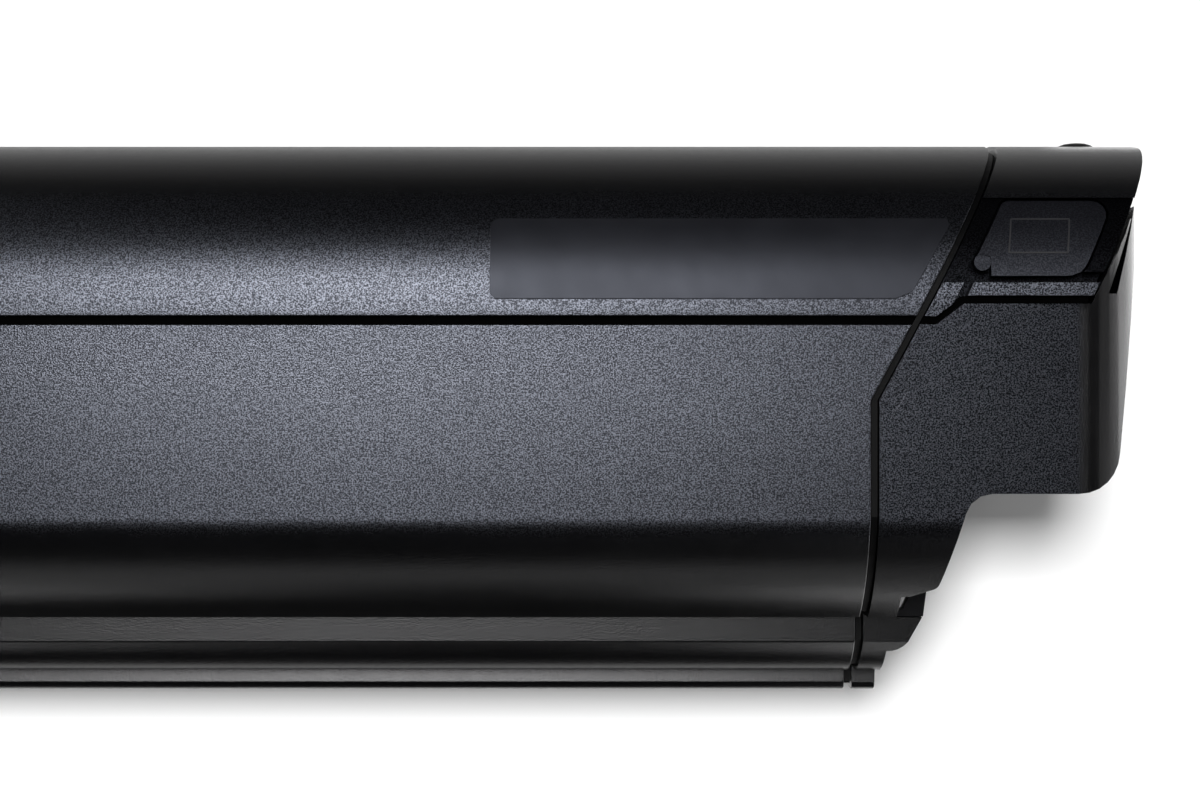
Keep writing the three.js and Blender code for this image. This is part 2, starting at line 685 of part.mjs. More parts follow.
TAIL_SCREWS.forEach((at, i) => place(`tail_screw_${i + 1}`, screwShape(at, 1), STEEL));

const BLADE_Z = [-12, -4, 4, 12];
const BLADE = { half: 0.5, low: 37, high: 43 };
const bladeBox = (z, slack) => box(TAIL_END + 1.5 - slack, -173 + slack, BLADE.low - slack,
  BLADE.high + slack, z - BLADE.half - slack, z + BLADE.half + slack);
place('discharge_connector', cut(
  join(
    box(pocketFloor - 3, pocketFloor - 0.05, 32, 48, -20, 20),
    box(pocketFloor - 0.5, -176, 34.3, 45.7, -17.7, 17.7),
    ...BLADE_Z.map((z) => box(TAIL_END + 2, pocketFloor - 2, 35.5, 44.5, z - 2.4, z - 1.2)),
  ),
  ...BLADE_Z.map((z) => bladeBox(z, 0.1)),
), PLASTIC);
BLADE_Z.forEach((z, i) => place(`contact_blade_${i + 1}`, bladeBox(z, 0), BRASS));

// ---------------------------------------------------------------- cells

const ROW_RISE = CELL.pitch * Math.sqrt(3) / 2;

// Places of all the cells, three staggered rows, in order along the pack.
function cellPlaces() {
  const rows = [
    { count: 14, shift: 0, y: STACK.y },
    { count: 13, shift: 0.5, y: STACK.y - ROW_RISE },
    { count: 13, shift: 0.5, y: STACK.y + ROW_RISE },
  ];
  const places = rows.flatMap(({ count, shift, y }) => Array.from({ length: count }, (_, i) => ({
    x: STACK.x + CELL.pitch * (i + 0.5 + shift),
    y,
  })));
  return places.sort((a, b) => a.x - b.x || a.y - b.y);
}

const NICKEL_PLATE = { margin: 3.5, lift: 0.05, thick: 0.3, weld: 2.4 };

// The nickel plate across one end of a group of cells, with a weld spot on each cell.
function nickelPlate(places, side) {
  const { margin, lift, thick, weld } = NICKEL_PLATE;
  const low = side * (CELL.length / 2 + lift);
  const high = low + side * thick;
  const corners = places.flatMap(({ x, y }) => [-margin, margin].flatMap((dx) =>
    [-margin, margin].flatMap((dy) =>
      [low, high].map((z) => new THREE.Vector3(x + dx, y + dy, z)))));
  const welds = places.map(({ x, y }) => {
    const geometry = rod(weld, 2 * lift + thick, 8).rotateX(Math.PI / 2);
    return solidOf(geometry.translate(x, y, low));
  });
  return join(solidOf(new ConvexGeometry(corners)), ...welds);
}

function cellGroup(places) {
  const cells = places.map(({ x, y }) =>
    solidOf(rod(CELL.radius, CELL.length, 12).rotateX(Math.PI / 2).translate(x, y, 0)));
  return join(...cells, nickelPlate(places, 1), nickelPlate(places, -1));
}

const GROUP_SIZE = 4;
const places = cellPlaces();
for (let i = 0; i < places.length / GROUP_SIZE; i += 1) {
  const label = String(i + 1).padStart(2, '0');
  const members = places.slice(i * GROUP_SIZE, (i + 1) * GROUP_SIZE);
  place(`cell_group_${label}`, cellGroup(members), NICKEL);
}

const stackEnd = STACK.x + 14 * CELL.pitch;
const stackTop = STACK.y + ROW_RISE + CELL.radius;
const stackLow = STACK.y - ROW_RISE - CELL.radius;
function cellFrame(fromZ, toZ) {
  const grow = 0.25;
  const thick = 0.9;
  const outer = box(STACK.x - grow - thick, stackEnd + grow + thick, stackLow - grow - thick,
    stackTop + grow + thick, fromZ, toZ);
  return cut(
    common(outer, bar(WALL + 0.4, TAIL_SEAM, HEAD_SEAM)),
    box(STACK.x - grow, stackEnd + grow, stackLow - grow, stackTop + grow, fromZ - 1, toZ + 1),
  );
}
place('cell_frame_left', cellFrame(25, 32.4), PLASTIC);
place('cell_frame_right', cellFrame(-32.4, -25), PLASTIC);

place('insulator_top', box(STACK.x + 4, stackEnd - 4, 73, 73.4, -24, 24), PAPER);
place('insulator_bottom', box(STACK.x + 4, stackEnd - 4, 18.8, 19.2, -24, 24), PAPER);
place('foam_pad_tail', box(-160, -152, 24, 68, -28, 28), FOAM);
place('foam_pad_head', box(stackEnd + 2, stackEnd + 8, 24, 68, -28, 28), FOAM);

// ---------------------------------------------------------------- electronics and leads

const BMS_X = 122;
place('bms_board', box(BMS_X, BMS_X + 1.6, 24, 68, -27, 27), BOARD);

const finCount = 7;
const finPitch = 3.2;
const heatsinkBase = box(BMS_X + 1.7, BMS_X + 4, 44, 65, -22, 22);
const fins = Array.from({ length: finCount }, (_, i) =>
  box(BMS_X + 3.5, BMS_X + 10, 44 + i * finPitch, 45.4 + i * finPitch, -22, 22));
place('bms_heatsink', join(heatsinkBase, ...fins), ALUMINIUM);
place('bms_plug', box(BMS_X + 1.7, BMS_X + 9, 28, 34, -22, -8), PLASTIC);
place('main_fuse', box(BMS_X + 12, BMS_X + 28, 26, 34, 8, 18), PLASTIC);

function mainLead(side) {
  return tube([
    [BMS_X + 5, 30, side * 4],
    [BMS_X + 7, 22, side * 5],
    [BMS_X + 2, 13, side * 6],
    [BMS_X - 20, 10.5, side * 6],
    [0, 10.5, side * 6],
    [-150, 10.5, side * 6],
    [-168, 15, side * 5],
    [-175, 24, side * 4],
    [-174, 32, side * 4],
  ], 2.2, 30);
}
place('lead_positive', mainLead(1), RED);
place('lead_negative', mainLead(-1), DARK_WIRE);

place('charge_lead', tube([
  [BMS_X + 4, 39, 16],
  [BMS_X + 16, 42, 20],
  [160, 50, 22],
  [174, 58, 23],
  [178.5, 61.5, 23.2],
], 1.8, 10), DARK_WIRE);

export default pack;
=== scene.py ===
import math

import bmesh
import bpy
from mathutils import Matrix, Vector

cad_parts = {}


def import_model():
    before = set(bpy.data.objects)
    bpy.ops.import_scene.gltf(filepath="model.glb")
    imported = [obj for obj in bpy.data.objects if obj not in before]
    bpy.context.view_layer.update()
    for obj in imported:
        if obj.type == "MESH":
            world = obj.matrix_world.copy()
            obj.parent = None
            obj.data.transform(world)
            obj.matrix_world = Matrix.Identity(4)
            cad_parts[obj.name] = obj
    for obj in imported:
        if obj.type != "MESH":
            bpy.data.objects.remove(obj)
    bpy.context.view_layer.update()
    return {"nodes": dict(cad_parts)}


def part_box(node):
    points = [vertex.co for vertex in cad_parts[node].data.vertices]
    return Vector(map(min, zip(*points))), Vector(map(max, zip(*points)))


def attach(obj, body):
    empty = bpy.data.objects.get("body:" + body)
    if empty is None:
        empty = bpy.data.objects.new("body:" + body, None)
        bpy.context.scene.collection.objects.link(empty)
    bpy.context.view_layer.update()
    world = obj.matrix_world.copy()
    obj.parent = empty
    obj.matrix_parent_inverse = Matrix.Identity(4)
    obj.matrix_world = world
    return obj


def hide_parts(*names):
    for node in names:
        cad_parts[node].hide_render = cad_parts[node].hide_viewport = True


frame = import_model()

MM = 0.001

# ---------------------------------------------------------------- places

HOUSING_LOW, HOUSING_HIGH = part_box("lower_housing")
HALF_WIDTH = HOUSING_HIGH.z
FLOOR_Z = HOUSING_LOW.z
CROWN_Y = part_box("top_cover")[1].y
HEAD_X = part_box("head_cap")[1].x
FLAP_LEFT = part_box("charge_flap")[0].x
OVERHANG_Y = 32.9 * MM  # underside of the part of the head cap that reaches past the shells

# The round shoulder of the section, which the cover, the hood and the flap all follow.
SHOULDER_RADIUS = 27 * MM
CROWN_RADIUS = 90 * MM
SHOULDER_Z = HALF_WIDTH - SHOULDER_RADIUS
SHOULDER_Y = (CROWN_Y - CROWN_RADIUS
              + math.sqrt((CROWN_RADIUS - SHOULDER_RADIUS) ** 2 - SHOULDER_Z ** 2))


# ---------------------------------------------------------------- node helpers

def feed(tree, value, socket):
    """Link a socket, or write a plain value."""
    if isinstance(value, bpy.types.NodeSocket):
        tree.links.new(value, socket)
    else:
        socket.default_value = value


def shades(color, spread):
    """A darker and a lighter shade of a colour."""
    return tuple(c * (1 - spread) for c in color), tuple(c * (1 + spread) for c in color)


class Look:
    """A material under construction, with short calls for the nodes used here.

    `place` is the place on the object, and `x`, `y` and `z` are its parts."""

    def __init__(self, name):
        self.material = bpy.data.materials.new(name)
        self.material.use_nodes = True
        self.tree = self.material.node_tree
        self.shader = self.tree.nodes["Principled BSDF"]
        self.place = self.node("ShaderNodeTexCoord").outputs["Object"]
        split = self.node("ShaderNodeSeparateXYZ")
        self.feed(self.place, split.inputs["Vector"])
        self.x, self.y, self.z = split.outputs

    def node(self, kind, **values):
        node = self.tree.nodes.new(kind)
        for key, value in values.items():
            setattr(node, key, value)
        return node

    def feed(self, value, socket):
        feed(self.tree, value, socket)

    def set(self, **values):
        """Plain values for inputs of the main shader, with _ for each space in their names."""
        for key, value in values.items():
            self.shader.inputs[key.replace("_", " ")].default_value = value

    def noise(self, size, detail, stretch=None):
        """Noise whose blobs are about `size` metres across."""
        texture = self.node("ShaderNodeTexNoise")
        texture.inputs["Scale"].default_value = 1 / size
        texture.inputs["Detail"].default_value = detail
        source = self.place
        if stretch:
            mapping = self.node("ShaderNodeMapping")
            mapping.inputs["Scale"].default_value = stretch
            self.feed(source, mapping.inputs["Vector"])
            source = mapping.outputs["Vector"]
        self.feed(source, texture.inputs["Vector"])
        return texture.outputs["Fac"]

    def remap(self, value, low, high, out_low, out_high):
        node = self.node("ShaderNodeMapRange")
        self.feed(value, node.inputs["Value"])
        node.inputs["From Min"].default_value = low
        node.inputs["From Max"].default_value = high
        node.inputs["To Min"].default_value = out_low
        node.inputs["To Max"].default_value = out_high
        return node.outputs["Result"]

    def spread(self, noise, low, high):
        """Noise, nearly all of which lies between 0.3 and 0.7, drawn out from low to high."""
        return self.remap(noise, 0.3, 0.7, low, high)

    def gain(self, share, level):
        """One where the share is zero, and the given level where the share is one."""
        return self.remap(share, 0.0, 1.0, 1.0, level)

    def math(self, operation, a, b=0.0):
        node = self.node("ShaderNodeMath", operation=operation)
        self.feed(a, node.inputs[0])
        self.feed(b, node.inputs[1])
        return node.outputs["Value"]

    def vector_math(self, operation, output, a, b=(0, 0, 0)):
        node = self.node("ShaderNodeVectorMath", operation=operation)
        self.feed(a, node.inputs[0])
        self.feed(b, node.inputs[1])
        return node.outputs[output]

    def mix(self, factor, first, second):
        node = self.node("ShaderNodeMix", data_type="RGBA")
        self.feed(factor, node.inputs["Factor"])
        self.feed((*first, 1) if isinstance(first, tuple) else first, node.inputs["A"])
        self.feed((*second, 1) if isinstance(second, tuple) else second, node.inputs["B"])
        return node.outputs["Result"]

    def fade(self, value, stops):
        """A level that runs straight from stop to stop of (value in mm, level)."""
        first, last = stops[0][0], stops[-1][0]
        ramp = self.node("ShaderNodeValToRGB")
        elements = ramp.color_ramp.elements
        inner = [elements.new((place - first) / (last - first)) for place, level in stops[1:-1]]
        for element, (place, level) in zip((elements[0], *inner, elements[-1]), stops):
            element.color = (level, level, level, 1)
        self.feed(self.remap(value, first * MM, last * MM, 0.0, 1.0), ramp.inputs["Fac"])
        return ramp.outputs["Color"]

    def bump(self, height, depth):
        node = self.node("ShaderNodeBump")
        node.inputs["Distance"].default_value = depth
        self.feed(height, node.inputs["Height"])
        return node.outputs["Normal"]

    def glow(self, strength):
        node = self.node("ShaderNodeEmission")
        self.feed(strength, node.inputs["Strength"])
        return node.outputs["Emission"]

    def blend(self, share, first, second):
        """The first shader, giving way to the second as the share goes from zero to one."""
        node = self.node("ShaderNodeMixShader")
        for value, socket in zip((share, first, second), node.inputs):
            self.feed(value, socket)
        return node.outputs["Shader"]

    def finish(self, color, roughness=None, normal=None):
        for value, name in ((color, "Base Color"), (roughness, "Roughness"), (normal, "Normal")):
            if value is not None:
                self.feed(value, self.shader.inputs[name])
        return self.material


# ---------------------------------------------------------------- the black outside

BLACK = (0.0008, 0.0008, 0.001)
FLAP_BLACK = (0.003, 0.003, 0.004)
# painted light: the bluish sheen tint stands in for bluish light from above; the plain tint is for
# places whose gloss shows the table
BLUISH_LIGHT_TINT = (0.8, 0.845, 1.0)
PLAIN_SHEEN = (0.86, 0.86, 0.87)

COATING = 0.285  # roughness of the powder coating and of the moulded plastic
SMOOTHER = 0.08  # less roughness than that in the smooth places
DRIFT = 0.02  # more roughness than that, at most, from wear and again from clouding
CLOUD = 18 * MM
CLOUD_SPREAD = 0.3
WEAR = 2.4 * MM
WEAR_NOISE = (0.35, 0.65)

GRAIN = 0.22 * MM
RELIEF = 0.032 * MM
FLECK_NOISE = (0.4, 0.66)
BRIGHT_FLECK = 1.7  # a bright fleck stands out this many times as much as a dark one

CROWN_SMOOTH = (76 * MM, 79 * MM)
STEPS_SMOOTH = (24 * MM, 29 * MM)
# painted shade: the steps keep this share of the sheen
STEPS_PAINTED_SHADE = 0.78
ENDS_SMOOTH = (HEAD_X - 10.5 * MM, HEAD_X - 9.3 * MM)

CUT_PAINTED_SHADE = 0.13  # painted shade: the share of the sheen left in cuts and recesses
CAP_CUTS = (2.2 * MM, HEAD_X - 9 * MM)  # depth of a cut, and where the rounded end starts
HOOD_CUTS = (0.42 * MM, HEAD_X + 10 * MM)

LEDGE = (61.6 * MM, 63.7 * MM)  # the ledge under the flap, which gets a painted highlight
LEDGE_CORE = 0.8  # share of the ledge's width that gets the full painted highlight
LEDGE_PAINTED_HIGHLIGHT = 1.35

SCRATCH_START = (160.0 * MM, 47.7 * MM)
SCRATCH_END = (157.4 * MM, 43.6 * MM)
SCRATCH_WIDTH = 0.12 * MM
SCRATCH_NOISE = (0.35, 0.6)
SCRATCH_GRAIN = 0.6 * MM
SCRATCH_TONE = (0.035, 0.035, 0.04)


def scratch(look):
    """One on a thin line of uneven width across the side of the cap, and zero elsewhere."""
    start, end = Vector((*SCRATCH_START, 0)), Vector((*SCRATCH_END, 0))
    along = (end - start).normalized()
    across = Vector((-along.y, along.x, 0))
    offset = look.vector_math("SUBTRACT", "Vector", look.place, start)
    aside = look.math("ABSOLUTE", look.vector_math("DOT_PRODUCT", "Value", offset, across))
    uneven = look.remap(look.noise(SCRATCH_GRAIN, 2.0), *SCRATCH_NOISE, 0.0, SCRATCH_WIDTH)
    thin = look.math("LESS_THAN", aside, uneven)
    middle = (end - start).length / 2
    travel = look.math("SUBTRACT", look.vector_math("DOT_PRODUCT", "Value", offset, along), middle)
    inside = look.math("LESS_THAN", look.math("ABSOLUTE", travel), middle)
    return look.math("MULTIPLY", thin, inside)


# Masks the painted shade that darkens the sheen in cuts and recesses.
def open_surface(look, cut_depth, whole_from):
    """One on the outside of the pack, falling to zero at the given depth of a cut or channel.

    The steps of the underside and the rounded end beyond `whole_from` count as outside."""
    up = look.math("MAXIMUM", look.math("SUBTRACT", look.y, SHOULDER_Y), 0.0)
    out = look.math("SUBTRACT", look.math("ABSOLUTE", look.z), SHOULDER_Z)
    reach = look.math("SQRT", look.math(
        "ADD", look.math("MULTIPLY", up, up), look.math("MULTIPLY", out, out)))
    depth = look.math("SUBTRACT", SHOULDER_RADIUS, reach)
    shallow = look.remap(depth, cut_depth / 2, cut_depth, 1.0, 0.0)
    steps = look.math("LESS_THAN", look.y, OVERHANG_Y)
    rounded_end = look.math("GREATER_THAN", look.math("ABSOLUTE", look.x), whole_from)
    return look.math("MAXIMUM", shallow, look.math("MAXIMUM", steps, rounded_end))


def smooth_places(look, crown_painted_sheen, end_painted_sheen):
    """How smooth each place is, from zero to one, and the painted highlight or painted shade on its
    sheen there.

    Smooth are the crown, the steps and, where `end_painted_sheen` is given, the rounded ends."""
    crown = look.remap(look.y, *CROWN_SMOOTH, 0.0, 1.0)
    steps = look.remap(look.y, *STEPS_SMOOTH, 1.0, 0.0)
    smooth = look.math("MAXIMUM", crown, steps)
    # painted highlight on the crown and painted shade on the steps, as a gain on the sheen
    gleam = look.math("MULTIPLY", look.gain(crown, crown_painted_sheen), look.gain(steps, STEPS_PAINTED_SHADE))
    if end_painted_sheen:
        ends = look.remap(look.math("ABSOLUTE", look.x), *ENDS_SMOOTH, 0.0, 1.0)
        smooth = look.math("MAXIMUM", smooth, ends)
        # painted highlight: more sheen on the rounded ends
        gleam = look.math("MULTIPLY", gleam, look.gain(ends, end_painted_sheen))
    return smooth, gleam


def painted_ledge_highlight(look):
    """A painted highlight: more sheen along the ledge under the flap."""
    low, high = LEDGE
    half = (high - low) / 2
    away = look.math("ABSOLUTE", look.math("SUBTRACT", look.y, (low + high) / 2))
    return look.remap(away, half * LEDGE_CORE, half, LEDGE_PAINTED_HIGHLIGHT, 1.0)


def textured_black(name, tone, roughness, depth, sheen, glint, scratched=False, cuts=None,
                   ledge=False, crown_painted_sheen=1.0, end_painted_sheen=None):
    """Black coating, plastic or rubber: a fine grain that glints, worn a little unevenly."""
    look = Look(name)
    grain = look.noise(GRAIN, 1.0)
    cloud = look.noise(CLOUD, 3.0)
    wear = look.noise(WEAR, 4.0)
    # gain carries the painted highlights and painted shade of smooth_places
    smooth, gain = smooth_places(look, crown_painted_sheen, end_painted_sheen)
    color = look.mix(cloud, *shades(tone, CLOUD_SPREAD))
    uneven = look.math("ADD", look.remap(wear, *WEAR_NOISE, roughness, roughness + DRIFT),
                       look.spread(cloud, 0.0, DRIFT))
    rough = look.math("SUBTRACT", uneven, look.math("MULTIPLY", smooth, SMOOTHER))
    fleck = look.remap(grain, *FLECK_NOISE, -glint * sheen, BRIGHT_FLECK * glint * sheen)
    flecks = look.math("MULTIPLY", fleck, look.math("SUBTRACT", 1.0, smooth))
    gleam = look.math("ADD", look.math("MULTIPLY", gain, sheen), flecks)
    # painted shade: less sheen deep in cuts and recesses
    if cuts:
        shade = look.remap(open_surface(look, *cuts), 0.0, 1.0, CUT_PAINTED_SHADE, 1.0)
        gleam = look.math("MULTIPLY", gleam, shade)
    # painted highlight: more sheen along the ledge under the flap
    if ledge:
        gleam = look.math("MULTIPLY", gleam, painted_ledge_highlight(look))
    if scratched:
        color = look.mix(scratch(look), color, SCRATCH_TONE)
    look.feed(gleam, look.shader.inputs["Specular IOR Level"])
    # painted light: a bluish tint in the sheen of the flats, a plain tint in the smooth places
    look.feed(look.mix(smooth, BLUISH_LIGHT_TINT, PLAIN_SHEEN), look.shader.inputs["Specular Tint"])
    return look.finish(color, rough, look.bump(grain, depth))


# ---------------------------------------------------------------- the other materials

ALONG_X, ALONG_Y, ALONG_Z = (1, 8, 8), (8, 1, 8), (8, 8, 1)  # stretches that draw noise to lines


def rubber(name, tone, roughness, sheen=0.4):
    """Matt rubber with a fine grain."""
    look = Look(name)
    cloud = look.noise(size=6 * MM, detail=3.0)
    grain = look.noise(size=0.16 * MM, detail=2.0)
    rough = look.spread(grain, roughness - 0.06, roughness + 0.06)
    look.set(Specular_IOR_Level=sheen)
    return look.finish(look.mix(cloud, *shades(tone, 0.15)), rough,
                       look.bump(grain, depth=0.012 * MM))


def film(name, tone, roughness, sheen):
    """Label film with a slow ripple and a few lighter specks."""
    look = Look(name)
    ripple = look.noise(size=5 * MM, detail=2.0)
    specks = look.remap(look.noise(size=0.3 * MM, detail=3.0), 0.62, 0.8, 0.0, 1.0)
    color = look.mix(specks, tone, tuple(2 * c for c in tone))
    rough = look.spread(ripple, roughness - 0.03, roughness + 0.03)
    # painted light: the label's sheen takes the same bluish tint
    look.set(Specular_IOR_Level=sheen, Specular_Tint=(*BLUISH_LIGHT_TINT, 1))
    return look.finish(color, rough, look.bump(ripple, depth=0.04 * MM))


def metal(name, tone, roughness, stretch=ALONG_X):
    """Machined or drawn metal, with fine lines along one axis and faint tarnish."""
    look = Look(name)
    lines = look.noise(size=0.5 * MM, detail=3.0, stretch=stretch)
    tarnish = look.noise(size=3 * MM, detail=4.0)
    color = look.mix(tarnish, *shades(tone, 0.18))
    rough = look.math("ADD", look.spread(lines, roughness - 0.08, roughness + 0.08),
                      look.spread(tarnish, 0.0, 0.06))
    look.set(Metallic=1.0)
    return look.finish(color, rough, look.bump(lines, depth=0.02 * MM))


def matte(name, tone, roughness, grain, depth):
    """Painted, woven or foamed matter inside the pack."""
    look = Look(name)
    fine = look.noise(grain, detail=3.0)
    cloud = look.noise(size=9 * MM, detail=2.0)
    rough = look.spread(fine, roughness - 0.08, roughness + 0.05)
    return look.finish(look.mix(cloud, *shades(tone, 0.2)), rough, look.bump(fine, depth))


def board_green(name):
    """Circuit board lacquer over copper runs and a fine weave."""
    look = Look(name)
    weave = look.noise(size=0.4 * MM, detail=1.0)
    runs = look.noise(size=2.2 * MM, detail=0.0, stretch=(1, 1, 0.25))
    copper = look.remap(runs, 0.5, 0.53, 0.0, 1.0)
    color = look.mix(copper, (0.008, 0.055, 0.022), (0.02, 0.11, 0.04))
    rough = look.spread(weave, 0.3, 0.42)
    return look.finish(color, rough, look.bump(copper, depth=0.03 * MM))


LOOKS = {
    "shell": textured_black("powder_black", BLACK, COATING, RELIEF, sheen=0.86, glint=0.64),
    "cap": textured_black("moulded_black", BLACK, COATING, RELIEF, sheen=0.53, glint=0.8,
                          scratched=True, cuts=CAP_CUTS, end_painted_sheen=1.5),
    "hood": textured_black("moulded_black_fine", BLACK, COATING, RELIEF, sheen=0.78, glint=0.85,
                           cuts=HOOD_CUTS, ledge=True, crown_painted_sheen=1.35),
    "flap": textured_black("flap_rubber", FLAP_BLACK, roughness=0.36, depth=0.012 * MM,
                           sheen=0.55, glint=0.38),
    "flap_line": rubber("flap_line_rubber", (0.014, 0.014, 0.016), 0.4, sheen=0.6),
    "seal": rubber("seal_black", (0.0004, 0.0004, 0.0004), 0.6, sheen=0.01),
    "gasket": rubber("gasket_black", (0.0006, 0.0006, 0.0007), 0.5, sheen=0.14),
    "button": rubber("button_black", (0.006, 0.006, 0.006), 0.5),
    "film": film("label_film", (0.0042, 0.0042, 0.0052), 0.38, sheen=0.48),
    "steel": metal("plated_steel", (0.42, 0.42, 0.44), 0.34),
    "dark_steel": metal("blackened_steel", (0.012, 0.012, 0.013), 0.4),
    "brass": metal("contact_brass", (0.66, 0.45, 0.16), 0.3, ALONG_Y),
    "nickel": metal("cell_nickel", (0.5, 0.51, 0.5), 0.4, ALONG_Z),
    "aluminium": metal("heat_sink_aluminium", (0.55, 0.56, 0.58), 0.42, ALONG_Z),
    "inner": matte("inner_plastic", (0.006, 0.006, 0.006), 0.5, 0.35 * MM, 0.02 * MM),
    "board": board_green("board_green"),
    "paper": matte("insulating_paper", (0.05, 0.13, 0.08), 0.85, 0.2 * MM, 0.03 * MM),
    "foam": matte("foam_grey", (0.04, 0.04, 0.042), 0.95, 0.5 * MM, 0.2 * MM),
    "red": matte("wire_red", (0.32, 0.014, 0.012), 0.45, 0.8 * MM, 0.02 * MM),
    "black": matte("wire_black", (0.008, 0.008, 0.009), 0.45, 0.8 * MM, 0.02 * MM),
}


# ---------------------------------------------------------------- meshes

SHARP = 30  # an edge that turns by more degrees than this is given a radius
SMOOTH_MARGIN = 5  # and one that turns by this much more still shades as a hard edge
RADIUS_STEPS = 3


def as_piece(solid, name, body, look, stands_for=None):
    """A finished solid as an object that rides a body, in place of a CAD node if one is named."""
    mesh = bpy.data.meshes.new(name)
    solid.to_mesh(mesh)
    solid.free()
    mesh.materials.append(LOOKS[look])
    piece = bpy.data.objects.new(name, mesh)
    bpy.context.scene.collection.objects.link(piece)
    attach(piece, body)
    if stands_for:
        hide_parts(stands_for)
    return piece


def clean_copy(node):
    """The CAD node's solid with shared vertices and whole flat faces."""
    solid = bmesh.new()
    solid.from_mesh(frame["nodes"][node].data)
    bmesh.ops.remove_doubles(solid, verts=solid.verts, dist=0.002 * MM)
    flat = math.radians(0.3)
    bmesh.ops.dissolve_limit(solid, angle_limit=flat, verts=solid.verts, edges=solid.edges)
    return solid


def soften_edges(solid, radius, sharp):
    edges = [e for e in solid.edges if e.calc_face_angle(0) > math.radians(sharp)]
    bmesh.ops.bevel(solid, geom=edges, offset=radius, offset_type="OFFSET", segments=RADIUS_STEPS,
                    profile=0.5, affect="EDGES", clamp_overlap=True)


def shade_smooth(solid, angle):
    """Smooth shading that breaks at edges which turn by more than the angle."""
    limit = math.radians(angle)
    for face in solid.faces:
        face.smooth = True
    for edge in solid.edges:
        edge.smooth = edge.calc_face_angle(0) < limit


def even_normals(piece):
    """Let the large faces rule the shading, so that flats stay flat next to their soft edges."""
    weigh = piece.modifiers.new("even_normals", "WEIGHTED_NORMAL")
    weigh.keep_sharp = True
    weigh.mode = "FACE_AREA"


def softened(node, body, look, radius, sharp=SHARP):
    """The CAD node with every sharp edge given a small radius."""
    solid = clean_copy(node)
    soften_edges(solid, radius, sharp)
    shade_smooth(solid, sharp + SMOOTH_MARGIN)
    even_normals(as_piece(solid, node + "_skin", body, look, stands_for=node))


def loft(solid, rings):
    """Faces from ring to ring, and one across each end."""
    for ring, following in zip(rings, rings[1:]):
        for i in range(len(ring)):
            j = (i + 1) % len(ring)
            solid.faces.new((ring[i], ring[j], following[j], following[i]))
    solid.faces.new(rings[0])
    solid.faces.new(rings[-1])


# ---------------------------------------------------------------- head and tail screws

SCREW_SIDES = 36
SCREW_HEAD = 1.75 * MM
HEAD_EDGE = ((0.5, 0.0), (0.2, 0.1), (0.05, 0.3), (0.0, 0.5))  # its round edge: depth, inset in mm
SHANK_SHARE = 0.5  # of the width of the head
SCREW_POINT = 0.8 * MM
POINT_SHARE = 0.6  # of the width of the shank
SOCKET_HALF = 1.25 * MM  # half the width across the flats of the hexagon
SOCKET_MOUTH = ((0.0, 1.12), (0.12, 1.0))  # its chamfer: depth in mm, size in socket widths
SOCKET_DEPTH = 1.2 * MM


def hexagon_radius(turn):
    sector = math.radians(60)
    return SOCKET_HALF / math.cos(turn % sector - sector / 2)


def socket_screw(node, inward):
    """A cap screw with a hexagon socket, along X, with its head outward."""
    low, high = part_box(node)
    centre = (low + high) / 2
    head = (high.z - low.z) / 2
    length = high.x - low.x
    top = high.x if inward < 0 else low.x
    shank = head * SHANK_SHARE
    solid = bmesh.new()

    def ring(depth, radius_at):
        turns = [2 * math.pi * i / SCREW_SIDES for i in range(SCREW_SIDES)]
        return [solid.verts.new((top + inward * depth,
                                 centre.y + radius_at(turn) * math.cos(turn),
                                 centre.z + radius_at(turn) * math.sin(turn))) for turn in turns]

    round_part = [(length, POINT_SHARE * shank), (length - SCREW_POINT, shank),
                  (SCREW_HEAD, shank), (SCREW_HEAD, head)]
    round_part += [(depth * MM, head - inset * MM) for depth, inset in HEAD_EDGE]
    socket = [(depth * MM, size) for depth, size in SOCKET_MOUTH] + [(SOCKET_DEPTH, 1.0)]
    rings = [ring(depth, lambda turn: radius) for depth, radius in round_part]
    rings += [ring(depth, lambda turn: size * hexagon_radius(turn)) for depth, size in socket]
    loft(solid, rings)
    bmesh.ops.recalc_face_normals(solid, faces=solid.faces)
    shade_smooth(solid, SHARP + SMOOTH_MARGIN)
    as_piece(solid, node + "_skin", "pack", "dark_steel", stands_for=node)


# ---------------------------------------------------------------- the flap's plain frame

FLAP_SINK = 0.45 * MM  # the flap's face lies this far inside the shoulder
FRAME_BOTTOM, FRAME_TOP = 68.2 * MM, 73.4 * MM
FRAME_LEFT, FRAME_RIGHT = FLAP_LEFT + 5.2 * MM, FLAP_LEFT + 13.8 * MM
FRAME_LEAN = 0.15
BEAD_HALF = 0.17 * MM
BEAD_RISE = 0.07 * MM
BEAD_TOP = 0.6  # width of the bead's flat top, as a share of its foot
BEAD_STEPS = 8


def on_flap(x, y, lift):
    """The place on the flap's curved face at this X and height, raised by the lift."""
    angle = math.asin((y - SHOULDER_Y) / SHOULDER_RADIUS)
    radius = SHOULDER_RADIUS - FLAP_SINK + lift
    return (x + FRAME_LEAN * (y - FRAME_BOTTOM), SHOULDER_Y + radius * math.sin(angle),
            SHOULDER_Z + radius * math.cos(angle))


def bead(solid, start, end):
    """A low bead along the flap's face, from one place to another in X and height."""
    across = Vector((end[1] - start[1], start[0] - end[0])).normalized() * BEAD_HALF
    profile = ((-1.0, -BEAD_RISE), (-BEAD_TOP, BEAD_RISE), (BEAD_TOP, BEAD_RISE), (1.0, -BEAD_RISE))
    rings = []
    for i in range(BEAD_STEPS + 1):
        share = i / BEAD_STEPS
        x = start[0] + (end[0] - start[0]) * share
        y = start[1] + (end[1] - start[1]) * share
        rings.append([solid.verts.new(on_flap(x + across.x * side, y + across.y * side, lift))
                      for side, lift in profile])
    loft(solid, rings)


